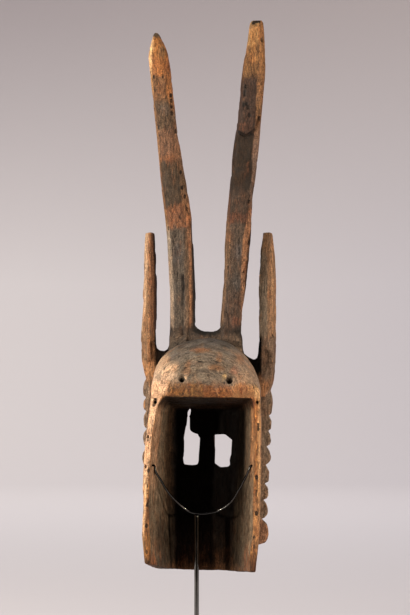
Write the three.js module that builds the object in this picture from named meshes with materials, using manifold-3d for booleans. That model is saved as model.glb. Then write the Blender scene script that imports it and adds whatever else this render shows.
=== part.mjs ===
// A carved wooden antelope mask of the walu kind, held up by a black metal display stand.
// Millimetres, +Z up. The face looks along +Y, and the open back, where the wearer's face goes, looks along -Y.
// The origin is the middle of the underside of the stand's foot.
// The mask has a frame of its own, which the second half of the file moves onto the stand: x is 0 on its middle,
// y is 0 at the back edges of its walls, and z is 0 at the chin, and outlines in it are [x, z] pairs seen from behind.
import * as THREE from "three";
import { mergeVertices } from "three/addons/utils/BufferGeometryUtils.js";
import Module from "manifold-3d";

// Where the mask's own origin stands, from the middle of the foot
const MASK_PLACE = new THREE.Vector3(0, -88, 122);

// The head's outside: the walls' x at six heights, at the open back and at the face, and the crown's height
const WALL_HEIGHTS = [0, 45, 100, 150, 190, 215];
const LEFT_WALL_BACK = [-71.5, -75.3, -74.4, -72, -67.5, -64.5];
const LEFT_WALL_FACE = [-58, -60, -62, -63.5, -64, -64];
const RIGHT_WALL_BACK = [64.5, 68.8, 70.8, 71.3, 71.6, 70.2];
const RIGHT_WALL_FACE = [53, 56, 59, 61, 62, 63];
const FACE_Y = 146;
const WALL_BULGE = 3;
const RIM_CROWN_Z = 232;
const CROWN_Y = 68;
const CROWN_Z = 290;
const LEFT_SHOULDER_BULGE = 5; // the crown is fuller on the left
const FOREHEAD_DROP = 54;
const FOREHEAD_CURVE = 3;
const RIM_ROUNDING = 2.5;
const LEFT_CHIN_BACK_Z = 10;
const LEFT_CHIN_FACE_Z = -7;
const RIGHT_CHIN_FACE_Z = -10;

// The hollow for the wearer's face: its outline at the back and at the inner side of the face
const HOLLOW_BACK = [
  [-64, -40], [-65.5, 19], [-66.7, 60], [-66.5, 115], [-64.5, 155], [-60, 187], [-56.5, 203], [-48.9, 215.6],
  [60.6, 213.7], [63.2, 203], [63.6, 187], [63.5, 150], [62.5, 95], [61.5, 45], [58.5, 19], [57.5, -40],
];
const HOLLOW_FACE = [
  [-40, -40], [-42, 10], [-44.5, 50], [-46.5, 90], [-47.8, 135], [-47.5, 165], [-46.5, 190], [-44.5, 200.8],
  [44, 200.8], [44.6, 190], [44, 165], [43, 135], [40.5, 90], [37.5, 50], [35.5, 10], [34, -40],
];
const HOLLOW_DEPTH = 112;
const HOLLOW_CORNER = 12;

// The two deep channels beside the nose, and the eye holes in their floors
const CHANNEL_FLOOR_Y = 121;
const NOSE_HALF = 9;
const CHANNEL_OUTER_X = 43;
const CHANNEL_TOP_Z = 207;
const CHANNEL_FOOT_Z = 62;
const CHANNEL_ROUNDING = 7;
// The left eye hole runs up into a narrow split where the thin wood has broken away.
const LEFT_EYE = [
  [-28.4, 127.4], [-20.6, 126.5], [-12.8, 127.1], [-10.2, 132], [-10.4, 141], [-9.6, 150], [-8.9, 161.8],
  [-11.5, 164.4], [-12.2, 167.7], [-19.3, 169.6], [-21.5, 173], [-22.2, 179], [-22.1, 187], [-22.4, 190.5],
  [-21.1, 193], [-20.2, 200.4], [-22.8, 200.2], [-24.9, 194], [-24.5, 190.5], [-25.7, 186.8], [-26.4, 179],
  [-28.5, 173.5], [-29.9, 164], [-30.3, 146], [-30.4, 130.5],
];
const RIGHT_EYE = [
  [15.8, 124.3], [27.5, 124.3], [30.5, 127], [29.9, 133.3], [31.4, 140], [32.9, 150], [33.4, 159.3],
  [23.6, 167], [10, 166.4], [8.7, 164.4], [9.7, 155], [10.2, 146], [10.6, 128.1],
];

// The brow that overhangs the channels, the raised nose and the muzzle
const BROW_HALF = 60;
const BROW_MIDDLE_Z = 214;
const BROW_SECTION = [[126, -12], [156, -13], [161, -6], [160, 4], [150, 17], [126, 24]];
const NOSE_STATIONS = [
  [212, 8, 153], [150, 8, 152.5], [95, 9, 154], [72, 11.5, 157], [58, 12, 154], [52, 9, 146],
];
const MUZZLE_STATIONS = [[138, 37, 34, 31], [152, 34, 33, 29], [172, 29, 30, 22], [186, 25, 28, 17], [192, 20, 27, 12]];
const MOUTH_Z = 27;
const MOUTH_HEIGHT = 5;
const MOUTH_BACK_Y = 164;

// The notched flanges along the face's sides: each notch's height and distance from the middle, from the top down,
// and how far out the lobe between each pair of notches reaches
const FLANGE_BACK_Y = 124;
const FLANGE_FRONT_Y = 141;
const FLANGE_INNER_X = 48;
const RIGHT_NOTCHES = [
  [224, 82], [191, 79.9], [171, 78.6], [151, 75.9], [127, 75.2], [102, 73.6], [81, 71.5], [57, 68.7], [24, 69.5],
];
const RIGHT_CRESTS = [85.2, 84, 83.1, 83, 80.9, 79.5, 78.3, 79];
const LEFT_NOTCHES = [
  [238, 79.7], [214, 78.8], [197, 78.2], [174, 77.6], [150, 77.6], [124, 75.5], [101, 73.6], [79, 71.5], [55, 68.7],
  [24, 69.5],
];
const LEFT_CRESTS = [83.1, 82.9, 82.7, 83.6, 84.3, 81, 79.5, 78.5, 79];
// A lobe's outline from its upper notch: shares of the way down to its lower one and of the way out to its crest
const LOBE_OUTLINE = [[0, 0], [0.1, 0.42], [0.24, 0.8], [0.45, 0.98], [0.66, 1], [0.84, 0.85], [0.93, 0.6]];

// The saddle that the horns grow from, seen from behind and from the side, and the webs from it to the ears
const SADDLE_OUTLINE = [
  [-47.5, 245], [-47.5, 284], [-46.5, 296], [-44, 309], [-16, 310], [-12.5, 305], [-7, 301.3], [4.5, 299.8],
  [13.5, 300.6], [17.5, 304], [20.5, 309], [44, 309], [46.5, 285], [48, 245],
];
const SADDLE_SIDE = [
  [86, 240], [86, 284], [90, 298], [94, 312], [109, 312], [116, 300], [123, 284], [129, 266], [133, 240],
];
const LEFT_WEB = [
  [-44, 215], [-44, 290], [-47.5, 284], [-51, 278], [-56, 275], [-61.5, 275.5], [-65.5, 280], [-68, 286], [-78, 286],
  [-74, 215],
];
const RIGHT_WEB = [
  [44, 215], [44, 285], [48, 273], [54, 267.5], [61.6, 263.6], [66, 266], [68.5, 273], [70, 282], [80, 282], [76, 215],
];
const WEB_BACK_Y = 107;
const WEB_FRONT_Y = 123;

// A horn's stations: height, middle x, width and middle y. Its section is a square with cut corners.
const LEFT_HORN = [
  [250, -31.5, 33, 103], [284, -31, 33.5, 101], [304, -30.5, 31.6, 101], [341, -30.4, 31.6, 100], [392, -32.3, 31.8, 97.5],
  [418, -33.5, 32.2, 96], [444, -35.4, 33.1, 94.5], [470, -38.9, 32.4, 92.5], [496, -42.7, 30.8, 90.5],
  [522, -45.9, 28.6, 88], [560, -50.5, 26.7, 84.5], [600, -55, 25.7, 80.5], [636, -58.5, 25.8, 76.5],
  [654, -60.6, 24.9, 74.5], [664, -61.5, 20.4, 73], [676, -62.7, 12.6, 72], [683, -63.3, 6.8, 71.5],
  [685.2, -63.5, 4.2, 71],
];
const RIGHT_HORN = [
  [250, 31.5, 31, 103], [280, 31.6, 31, 101], [300, 31.8, 27.8, 101], [320, 32.6, 26.6, 100.5], [341, 35, 26.8, 100],
  [366, 37.6, 29.1, 99], [392, 39.5, 30.7, 97.5], [418, 41, 31.7, 96], [444, 42.7, 31.1, 94.5],
  [470, 44.7, 29.8, 92.5], [521, 50.3, 31.7, 88], [547, 53.3, 31, 85.5], [573, 56.3, 29.1, 83],
  [624, 61.6, 29.1, 78], [650, 63.7, 26.7, 75], [663, 65.2, 23.2, 73.5], [689, 66, 18.1, 70.5],
  [696, 66.4, 15.6, 70], [699.5, 66.6, 10.3, 69.5],
];
const HORN_DEPTH_SHARE = 0.9;
const HORN_LEFT_CHAMFER = [0.15, 0.27];
const HORN_RIGHT_CHAMFER = [0.31, 0.22];
const HORN_FRONT_CHAMFER = [0.2, 0.2];

// An ear's stations: height, inner x, outer x, middle y and a share of its full depth.
// Its back has an arris, its front a shallow groove, and its foot thins out into the flange below.
const LEFT_EAR = [
  [214, -57, -76, 128, 0.35], [238, -61, -80.8, 122, 0.7], [262, -64, -84.5, 116, 0.95], [292, -66.4, -86, 114, 1],
  [329, -65.8, -83.8, 114, 1], [368, -65.5, -82.6, 114, 0.95], [407, -67.2, -81.9, 114, 0.8],
  [425, -68.2, -80.9, 114, 0.72], [429.6, -68.9, -80.2, 114, 0.66],
];
const RIGHT_EAR = [
  [210, 59, 79, 128, 0.35], [236, 64, 87.3, 122, 0.7], [260, 66.2, 89.2, 116, 0.95], [289, 67.9, 90.6, 114, 1],
  [328, 67.3, 90.9, 114, 1], [368, 68.2, 90.8, 114, 0.95], [407, 70.6, 88.8, 114, 0.8],
  [424, 72.2, 86.4, 114, 0.7], [429.6, 73, 84.9, 114, 0.64],
];
const LEFT_EAR_ARRIS = 0.48;
const RIGHT_EAR_ARRIS = 0.72;
const EAR_BACK_RISE = 12;
const EAR_FRONT_RISE = 9;
const EAR_GROOVE = 5;

// The tying holes: two slant down through the crown's rim, and three pairs go through the back of the side walls.
const CROWN_HOLES = [[-26.4, 238.4], [32.6, 236.6]];
const CROWN_HOLE_RADIUS = 3.9;
const WALL_HOLE_HEIGHTS = [208.5, 165.8, 129];
const LEFT_WALL_HOLES = [[-60, -52.5], [-68.6, -59.8], [-72.2, -60]];
const RIGHT_WALL_HOLES = [[68.2, 58], [75.5, 56.5], [75.5, 56.5]];
const WALL_HOLE_BACK_Y = 0;
const WALL_HOLE_INNER_Y = 23;
const WALL_HOLE_RADIUS = 2.4;
const CRADLE_HOLE = 2;

// The stand: a foot plate with a socket, a rod, and a wire cradle whose ends sit in the lowest wall holes
const FOOT_WIDTH = 180;
const FOOT_DEPTH = 170;
const FOOT_HEIGHT = 12;
const FOOT_BEVEL = 1.5;
const SOCKET_RADIUS = 8;
const SOCKET_HEIGHT = 10;
const ROD_RADIUS = 3;
const FIT_GAP = 0.3;
const ROD_X = -10.5;
const ROD_Y = 57;
const WIRE_RADIUS = 1.5;
// The wire's way down from the left hole and up to the right one, between its ends in the holes
const CRADLE_BOW = [
  [-60.4, 20.8, 123], [-54.2, 30, 111.1], [-44.7, 42, 94], [-34.9, 50, 82.8], [-25, 55, 73.7], [-17.5, 56.7, 69.4],
  [-10.5, 57, 68], [-1.2, 57, 67.7], [7.8, 56.7, 69], [18.2, 55.5, 72], [31.2, 50.5, 80.8], [43, 40, 98],
  [50, 31, 111], [56, 21.5, 123],
];
const ROUND_SIDES = 12;

const WOOD = { color: 0x5d4434, roughness: 0.85, metalness: 0 };
const BLACK_STEEL = { color: 0x15130f, roughness: 0.35, metalness: 0.4 };

const wasm = await Module();
wasm.setup();

function solidOf(geometry) {
  const bare = geometry.clone();
  bare.deleteAttribute("normal");
  bare.deleteAttribute("uv");
  const merged = mergeVertices(bare, 1e-4);
  return new wasm.Manifold(
    new wasm.Mesh({
      numProp: 3,
      vertProperties: merged.attributes.position.array,
      triVerts: new Uint32Array(merged.index.array),
    }),
  );
}

function geometryOf(solid) {
  const mesh = solid.getMesh();
  const geometry = new THREE.BufferGeometry();
  geometry.setAttribute("position", new THREE.BufferAttribute(mesh.vertProperties.slice(), 3));
  geometry.setIndex(new THREE.BufferAttribute(mesh.triVerts.slice(), 1));
  geometry.computeVertexNormals();
  return geometry;
}

function signedVolume(points, faces) {
  const sum = new THREE.Vector3();
  return faces.reduce((total, [a, b, c]) => total + points[a].dot(sum.crossVectors(points[b], points[c])) / 6, 0);
}

// The two axes that a flat ring is seen along best, for filling it in
function flatAxes(ring) {
  const box = new THREE.Box3().setFromPoints(ring);
  const size = box.getSize(new THREE.Vector3());
  if (size.z <= Math.min(size.x, size.y)) return ["x", "y"];
  return size.y <= size.x ? ["x", "z"] : ["y", "z"];
}

// A closed solid through rings of equally many points, with flat ends
function loft(rings) {
  const sides = rings[0].length;
  const points = rings.flat();
  const faces = [];
  for (let r = 0; r + 1 < rings.length; r++) {
    for (let i = 0; i < sides; i++) {
      const here = r * sides + i;
      const next = r * sides + ((i + 1) % sides);
      faces.push([here, next, next + sides], [here, next + sides, here + sides]);
    }
  }
  const fill = (ring) => {
    const [u, v] = flatAxes(ring);
    return THREE.ShapeUtils.triangulateShape(ring.map((p) => new THREE.Vector2(p[u], p[v])), []);
  };
  const edgeOf = (triangles) => {
    const seen = new Set(triangles.flatMap(([a, b, c]) => [`${a},${b}`, `${b},${c}`, `${c},${a}`]));
    return seen.has("0,1");
  };
  const first = fill(rings[0]);
  const last = fill(rings[rings.length - 1]);
  const lastStart = (rings.length - 1) * sides;
  for (const [a, b, c] of first) faces.push(edgeOf(first) ? [a, c, b] : [a, b, c]);
  for (const [a, b, c] of last) {
    const shifted = [a + lastStart, b + lastStart, c + lastStart];
    faces.push(edgeOf(last) ? shifted : [shifted[0], shifted[2], shifted[1]]);
  }
  const outward = signedVolume(points, faces) > 0 ? faces : faces.map(([a, b, c]) => [a, c, b]);
  const geometry = new THREE.BufferGeometry().setFromPoints(points);
  geometry.setIndex(outward.flat());
  return solidOf(geometry);
}

const lerp = THREE.MathUtils.lerp;

function shapeOf(outline) {
  return new THREE.Shape(outline.map(([x, z]) => new THREE.Vector2(x, z)));
}

// A plate whose outline is seen from behind, from one depth to another
function plate(shape, backY, frontY) {
  const geometry = new THREE.ExtrudeGeometry(shape, { depth: frontY - backY, bevelEnabled: false, curveSegments: 6 });
  return solidOf(geometry.rotateX(Math.PI / 2).translate(0, frontY, 0));
}

function rod(from, to, radius, sides = ROUND_SIDES) {
  const way = new THREE.Vector3().subVectors(to, from);
  const geometry = new THREE.CylinderGeometry(radius, radius, way.length(), sides);
  geometry.applyQuaternion(new THREE.Quaternion().setFromUnitVectors(new THREE.Vector3(0, 1, 0), way.normalize()));
  return solidOf(geometry.translate((from.x + to.x) / 2, (from.y + to.y) / 2, (from.z + to.z) / 2));
}

// The crown's height at a depth: a quarter ellipse up from the rim, then the forehead's slope
function crownHeight(y) {
  if (y < CROWN_Y) return RIM_CROWN_Z + (CROWN_Z - RIM_CROWN_Z) * Math.sqrt(1 - ((CROWN_Y - y) / CROWN_Y) ** 2);
  return CROWN_Z - FOREHEAD_DROP * ((y - CROWN_Y) / (FACE_Y - CROWN_Y)) ** FOREHEAD_CURVE;
}

// One slice of the head, standing across it: up the left wall, over the crown and down the right wall
function headSlice(y, inset) {
  const along = y / FACE_Y;
  const bulge = WALL_BULGE * Math.sin(Math.PI * along);
  const leftAt = (i) => lerp(LEFT_WALL_BACK[i], LEFT_WALL_FACE[i], along) - bulge + inset;
  const rightAt = (i) => lerp(RIGHT_WALL_BACK[i], RIGHT_WALL_FACE[i], along) + bulge - inset;
  const top = WALL_HEIGHTS.length - 1;
  const shoulder = WALL_HEIGHTS[top];
  const chinLeft = lerp(LEFT_CHIN_BACK_Z, LEFT_CHIN_FACE_Z, Math.min(1, y / HOLLOW_DEPTH)) + inset;
  const chinRight = lerp(0, RIGHT_CHIN_FACE_Z, Math.min(1, y / HOLLOW_DEPTH)) + inset;
  const slice = [];
  for (let i = 0; i < top; i++) slice.push([leftAt(i), i ? WALL_HEIGHTS[i] : chinLeft]);
  const middle = (leftAt(top) + rightAt(top)) / 2;
  const half = (rightAt(top) - leftAt(top)) / 2;
  const rise = crownHeight(y) - inset - shoulder;
  const archSteps = 18;
  for (let i = 0; i <= archSteps; i++) {
    const turn = Math.PI * (1 - i / archSteps);
    const fullness = i < archSteps / 2 ? LEFT_SHOULDER_BULGE * Math.sin(2 * turn) ** 2 : 0;
    slice.push([middle + half * Math.cos(turn) - fullness, shoulder + rise * Math.sin(turn) ** 0.96]);
  }
  for (let i = top - 1; i >= 0; i--) slice.push([rightAt(i), i ? WALL_HEIGHTS[i] : chinRight]);
  return slice.map(([x, z]) => new THREE.Vector3(x, y, z));
}

function head() {
  const depths = [0, RIM_ROUNDING, 6, 12, 20, 32, 48, 66, 84, 100, 114, 124, 134, FACE_Y - 4, FACE_Y];
  const insets = depths.map((y) => (y === 0 || y === FACE_Y ? RIM_ROUNDING : 0));
  return loft(depths.map((y, i) => headSlice(y, insets[i])));
}

// The hollow's slices run from the open back to the inner side of the face, whose corners are rounded.
function hollow() {
  const slice = (y, share, shrink) =>
    HOLLOW_BACK.map(([x, z], i) => {
      const [faceX, faceZ] = HOLLOW_FACE[i];
      const wideX = lerp(x, faceX, share);
      const inward = Math.sign(wideX) * shrink;
      return new THREE.Vector3(wideX - inward, y, lerp(z, faceZ, share) - (z > 0 ? shrink / 2 : 0));
    });
  const cornerSteps = [0, 0.35, 0.7, 0.92, 1];
  const start = HOLLOW_DEPTH - HOLLOW_CORNER;
  const corner = cornerSteps.map((s) => {
    const y = start + HOLLOW_CORNER * s;
    return slice(y, y / HOLLOW_DEPTH, HOLLOW_CORNER * (1 - Math.sqrt(1 - s * s)) * 0.8);
  });
  return loft([slice(-8, -8 / HOLLOW_DEPTH, 0), slice(50, 50 / HOLLOW_DEPTH, 0), ...corner]);
}

function roundedBox(left, right, foot, top, rounding) {
  const shape = new THREE.Shape();
  shape.moveTo(left + rounding, foot);
  shape.lineTo(right - rounding, foot);
  shape.quadraticCurveTo(right, foot, right, foot + rounding);
  shape.lineTo(right, top - rounding);
  shape.quadraticCurveTo(right, top, right - rounding, top);
  shape.lineTo(left + rounding, top);
  shape.quadraticCurveTo(left, top, left, top - rounding);
  shape.lineTo(left, foot + rounding);
  shape.quadraticCurveTo(left, foot, left + rounding, foot);
  return shape;
}

function channels() {
  const front = FACE_Y + 30;
  const right = roundedBox(NOSE_HALF, CHANNEL_OUTER_X, CHANNEL_FOOT_Z, CHANNEL_TOP_Z, CHANNEL_ROUNDING);
  const left = roundedBox(-CHANNEL_OUTER_X, -NOSE_HALF, CHANNEL_FOOT_Z, CHANNEL_TOP_Z, CHANNEL_ROUNDING);
  return plate(right, CHANNEL_FLOOR_Y, front).add(plate(left, CHANNEL_FLOOR_Y, front));
}

function eyeHoles() {
  const reach = 15;
  const cut = (outline) => plate(shapeOf(outline), CHANNEL_FLOOR_Y - reach, CHANNEL_FLOOR_Y + reach);
  return cut(LEFT_EYE).add(cut(RIGHT_EYE));
}

// The brow is thickest in its middle, where it meets the nose.
function brow() {
  const steps = 10;
  const slices = [];
  for (let i = 0; i <= steps; i++) {
    const x = lerp(-BROW_HALF, BROW_HALF, i / steps);
    const near = 1 - (x / BROW_HALF) ** 2;
    slices.push(
      BROW_SECTION.map(([y, z]) => {
        const back = BROW_SECTION[0][0];
        const share = lerp(0.8, 1, near);
        return new THREE.Vector3(x, back + (y - back) * share, BROW_MIDDLE_Z + z * lerp(0.85, 1, near));
      }),
    );
  }
  return loft(slices);
}

function nose() {
  const backY = CHANNEL_FLOOR_Y - 2;
  return loft(
    NOSE_STATIONS.map(([z, half, frontY]) =>
      [[-half, backY], [half, backY], [half, frontY - 4], [half - 4, frontY], [4 - half, frontY], [-half, frontY - 4]].map(
        ([x, y]) => new THREE.Vector3(x, y, z),
      ),
    ),
  );
}

function muzzle() {
  const sides = 14;
  const slices = MUZZLE_STATIONS.map(([y, half, middleZ, halfHeight]) => {
    const slice = [];
    for (let i = 0; i < sides; i++) {
      const turn = (2 * Math.PI * (i + 0.5)) / sides;
      const squarer = (v) => Math.sign(v) * Math.abs(v) ** 0.7;
      slice.push(
        new THREE.Vector3(half * squarer(Math.cos(turn)), y, middleZ + halfHeight * squarer(Math.sin(turn))),
      );
    }
    return slice;
  });
  return loft(slices);
}

function mouth() {
  const half = 60;
  const end = 210;
  const middle = MOUTH_Z;
  return plate(
    roundedBox(-half, half, middle - MOUTH_HEIGHT / 2, middle + MOUTH_HEIGHT / 2, MOUTH_HEIGHT / 3),
    MOUTH_BACK_Y,
    end,
  );
}

// A flange seen from behind: straight towards the head, and lobes between the notches on its outer side
function flange(side, notches, crests) {
  const [topZ] = notches[0];
  const [footZ, footX] = notches[notches.length - 1];
  const outline = [[FLANGE_INNER_X, topZ]];
  crests.forEach((crest, n) => {
    const [upperZ, upperX] = notches[n];
    const [lowerZ, lowerX] = notches[n + 1];
    for (const [down, out] of LOBE_OUTLINE) {
      outline.push([lerp(lerp(upperX, lowerX, down), crest, out), lerp(upperZ, lowerZ, down)]);
    }
  });
  outline.push([footX, footZ], [FLANGE_INNER_X, footZ - 8]);
  return plate(shapeOf(outline.map(([x, z]) => [side * x, z])), FLANGE_BACK_Y, FLANGE_FRONT_Y);
}

function hornSlice([z, middleX, width, middleY]) {
  const half = width / 2;
  const deep = half * HORN_DEPTH_SHARE;
  const [leftX, leftY] = HORN_LEFT_CHAMFER.map((share) => share * width);
  const [rightX, rightY] = HORN_RIGHT_CHAMFER.map((share) => share * width);
  const [frontX, frontY] = HORN_FRONT_CHAMFER.map((share) => share * width);
  const corners = [
    [-half, leftY - deep], [leftX - half, -deep], [half - rightX, -deep], [half, rightY - deep],
    [half, deep - frontY], [half - frontX, deep], [frontX - half, deep], [-half, deep - frontY],
  ];
  return corners.map(([x, y]) => new THREE.Vector3(middleX + x, middleY + y, z));
}

function ear(stations, arris) {
  return loft(
    stations.map(([z, innerX, outerX, middleY, share]) => {
      const at = (across, y) => new THREE.Vector3(lerp(innerX, outerX, across), middleY + y * share, z);
      const grooveY = EAR_FRONT_RISE - EAR_GROOVE;
      return [
        at(0, 0), at(arris - 0.1, -EAR_BACK_RISE), at(arris + 0.1, -EAR_BACK_RISE), at(1, 0),
        at(0.82, EAR_FRONT_RISE), at(0.5, grooveY), at(0.18, EAR_FRONT_RISE),
      ];
    }),
  );
}

// The saddle's outline, cut to its profile from the side
function saddle() {
  const side = shapeOf(SADDLE_SIDE);
  const reach = 100;
  const along = new THREE.ExtrudeGeometry(side, { depth: 2 * reach, bevelEnabled: false });
  along.rotateX(Math.PI / 2).rotateZ(Math.PI / 2).translate(-reach, 0, 0);
  return plate(shapeOf(SADDLE_OUTLINE), 0, FACE_Y).intersect(solidOf(along));
}

function tyingHoles() {
  const slantY = 30;
  const slantZ = -38;
  const startY = -5;
  let holes = CROWN_HOLES.map(([x, z]) => {
    const start = new THREE.Vector3(x, startY, z - (slantZ / slantY) * -startY + 2);
    return rod(start, start.clone().add(new THREE.Vector3(0, slantY, slantZ)), CROWN_HOLE_RADIUS);
  });
  for (const ends of [LEFT_WALL_HOLES, RIGHT_WALL_HOLES]) {
    holes = holes.concat(
      ends.map(([outerX, innerX], i) => {
        const z = WALL_HOLE_HEIGHTS[i];
        const inner = new THREE.Vector3(innerX, WALL_HOLE_INNER_Y, z);
        const mouth = new THREE.Vector3(outerX, WALL_HOLE_BACK_Y, z);
        return rod(mouth.lerp(inner, -0.25), inner, WALL_HOLE_RADIUS);
      }),
    );
  }
  return holes.reduce((all, hole) => all.add(hole));
}

function mask() {
  const body = [
    saddle(),
    plate(shapeOf(LEFT_WEB), WEB_BACK_Y, WEB_FRONT_Y),
    plate(shapeOf(RIGHT_WEB), WEB_BACK_Y, WEB_FRONT_Y),
    flange(1, RIGHT_NOTCHES, RIGHT_CRESTS),
    flange(-1, LEFT_NOTCHES, LEFT_CRESTS),
    loft(LEFT_HORN.map(hornSlice)),
    loft(RIGHT_HORN.map(hornSlice)),
    ear(LEFT_EAR, LEFT_EAR_ARRIS),
    ear(RIGHT_EAR, RIGHT_EAR_ARRIS),
  ].reduce((all, piece) => all.add(piece), head());
  return body
    .subtract(channels())
    .add(brow())
    .add(nose())
    .add(muzzle())
    .subtract(mouth())
    .subtract(hollow())
    .subtract(eyeHoles())
    .subtract(tyingHoles());
}

function foot() {
  const half = [FOOT_WIDTH / 2 - FOOT_BEVEL, FOOT_DEPTH / 2 - FOOT_BEVEL];
  const shape = roundedBox(-half[0], half[0], -half[1], half[1], 2);
  const slab = new THREE.ExtrudeGeometry(shape, {
    depth: FOOT_HEIGHT - 2 * FOOT_BEVEL,
    bevelSize: FOOT_BEVEL,
    bevelThickness: FOOT_BEVEL,
    bevelSegments: 1,
    curveSegments: 3,
  }).translate(0, 0, FOOT_BEVEL);
  const at = (z) => new THREE.Vector3(rodPlace.x, rodPlace.y, z);
  const socketTop = FOOT_HEIGHT + SOCKET_HEIGHT;
  return solidOf(slab)
    .add(rod(at(FOOT_HEIGHT / 2), at(socketTop), SOCKET_RADIUS, 24))
    .subtract(rod(at(FOOT_HEIGHT), at(socketTop + 5), ROD_RADIUS + FIT_GAP, 24));
}

function standRod() {
  const lowest = Math.min(...CRADLE_BOW.map(([, , z]) => z));
  const top = MASK_PLACE.z + lowest - WIRE_RADIUS - FIT_GAP;
  const at = (z) => new THREE.Vector3(rodPlace.x, rodPlace.y, z);
  return rod(at(FOOT_HEIGHT + FIT_GAP), at(top), ROD_RADIUS, 16);
}

// The cradle's wire starts inside the left wall's hole, bows down to the rod's top and ends inside the right wall's.
function cradlePath() {
  const holeZ = WALL_HOLE_HEIGHTS[CRADLE_HOLE];
  const insideHole = ([outerX, innerX]) =>
    [0.4, 0.93].map((share) => new THREE.Vector3(lerp(outerX, innerX, share), WALL_HOLE_INNER_Y * share, holeZ));
  const bow = CRADLE_BOW.map(([x, y, z]) => new THREE.Vector3(x, y, z));
  const right = insideHole(RIGHT_WALL_HOLES[CRADLE_HOLE]).reverse();
  return [...insideHole(LEFT_WALL_HOLES[CRADLE_HOLE]), ...bow, ...right];
}

function cradle() {
  const path = new THREE.CatmullRomCurve3(cradlePath(), false, "centripetal");
  const section = new THREE.Shape();
  for (let i = 0; i < 8; i++) {
    const turn = (2 * Math.PI * i) / 8;
    const [u, v] = [WIRE_RADIUS * Math.cos(turn), WIRE_RADIUS * Math.sin(turn)];
    if (i) section.lineTo(u, v);
    else section.moveTo(u, v);
  }
  return new THREE.ExtrudeGeometry(section, { steps: 56, bevelEnabled: false, extrudePath: path });
}

const rodPlace = new THREE.Vector3(ROD_X + MASK_PLACE.x, ROD_Y + MASK_PLACE.y, 0);

function named(name, geometry, look) {
  const mesh = new THREE.Mesh(geometry, new THREE.MeshStandardMaterial(look));
  mesh.name = name;
  return mesh;
}

const maskMesh = named("mask", geometryOf(mask()), WOOD);
const cradleMesh = named("cradle_wire", cradle(), BLACK_STEEL);
maskMesh.position.copy(MASK_PLACE);
cradleMesh.position.copy(MASK_PLACE);

const part = new THREE.Group();
part.add(maskMesh, cradleMesh);
part.add(named("stand_rod", geometryOf(standRod()), BLACK_STEEL));
part.add(named("stand_foot", geometryOf(foot()), BLACK_STEEL));

export default part;
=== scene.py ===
"""An old carved antelope mask of dark wood, seen from its hollow back on a black steel stand.

Lengths are in metres. Places on the mask are in millimetres in its own frame, as in the part's source:
x from its middle, y from the back edges of its walls towards the face, and z up from the chin.
"""

import math
from types import SimpleNamespace

import bmesh
import bpy
import numpy as np
from mathutils import Matrix, Vector, kdtree
from mathutils.bvhtree import BVHTree

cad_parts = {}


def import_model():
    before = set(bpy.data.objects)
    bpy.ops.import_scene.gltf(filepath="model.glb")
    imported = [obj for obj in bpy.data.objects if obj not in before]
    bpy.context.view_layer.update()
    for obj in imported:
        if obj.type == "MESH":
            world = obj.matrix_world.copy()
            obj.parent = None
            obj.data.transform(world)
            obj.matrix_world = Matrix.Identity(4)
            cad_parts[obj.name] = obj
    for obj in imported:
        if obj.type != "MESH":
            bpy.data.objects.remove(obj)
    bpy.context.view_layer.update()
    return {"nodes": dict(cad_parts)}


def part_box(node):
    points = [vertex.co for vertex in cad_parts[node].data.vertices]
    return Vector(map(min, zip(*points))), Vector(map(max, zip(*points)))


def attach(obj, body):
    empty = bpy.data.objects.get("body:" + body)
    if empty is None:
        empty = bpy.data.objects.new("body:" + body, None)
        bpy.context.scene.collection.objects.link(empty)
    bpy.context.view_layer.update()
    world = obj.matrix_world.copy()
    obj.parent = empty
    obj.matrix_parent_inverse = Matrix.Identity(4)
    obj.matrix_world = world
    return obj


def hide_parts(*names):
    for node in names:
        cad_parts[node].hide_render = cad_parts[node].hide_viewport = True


MASK_PLACE = np.array((0.0, -0.088, 0.122))
SEED = 7

# The camera and the picture's frame
CAMERA_PLACE = Vector((0.0931, -2.2501, 0.3344))
CAMERA_TARGET = Vector((0.0032, -0.1049, 0.4469))
FOCAL_LENGTH = 102.3

# The carved surface
REMESH_SIZE = 0.001
MASK_TRIANGLES = 196_000
CUT_COUNT = 1700
CUT_DEPTH = 0.0007
CUT_TILT = 0.045
CUT_SQUEEZE = np.array((1.0, 1.0, 0.5))
CUT_FACING = 0.7
EDGE_LOSS = 0.0011
WAVE_DEPTH = 0.0007
FIBRE_DEPTH = 0.00022

# From where, how far and how many ways the surface looks out for what shades it
OPENNESS_START = 0.0007
OPENNESS_REACH = 0.045
OPENNESS_RAYS = 10
GOLDEN_TURN = 2.39996

# How deep the hollow is, in the mask's millimetres
HOLLOW_DEPTH = 112

# The middle of each horn where its bands slant, and the painted bands from the tip down: the height of
# each band's lower edge, its slant and its colour
LEFT_HORN_X = -34
RIGHT_HORN_X = 50
LEFT_BANDS = [
    (652, 0.0, (120, 80, 46)),
    (628, 0.0, (121, 79, 47)),
    (596, 0.0, (94, 68, 48)),
    (562, 0.1, (73, 59, 47)),
    (528, 0.1, (90, 67, 53)),
    (521, 0.1, (98, 66, 46)),
    (464, 0.33, (56, 46, 37)),
    (433, 0.1, (93, 64, 47)),
    (300, 0.0, (64, 57, 51)),
]
RIGHT_BANDS = [
    (666, 0.0, (128, 100, 67)),
    (625, 0.0, (95, 69, 45)),
    (552, 0.0, (52, 39, 33)),
    (481, 0.0, (38, 29, 22)),
    (452, 0.0, (54, 43, 36)),
    (439, 0.0, (70, 47, 36)),
    (353, 0.0, (61, 51, 44)),
    (300, 0.0, (62, 50, 43)),
]

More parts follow.
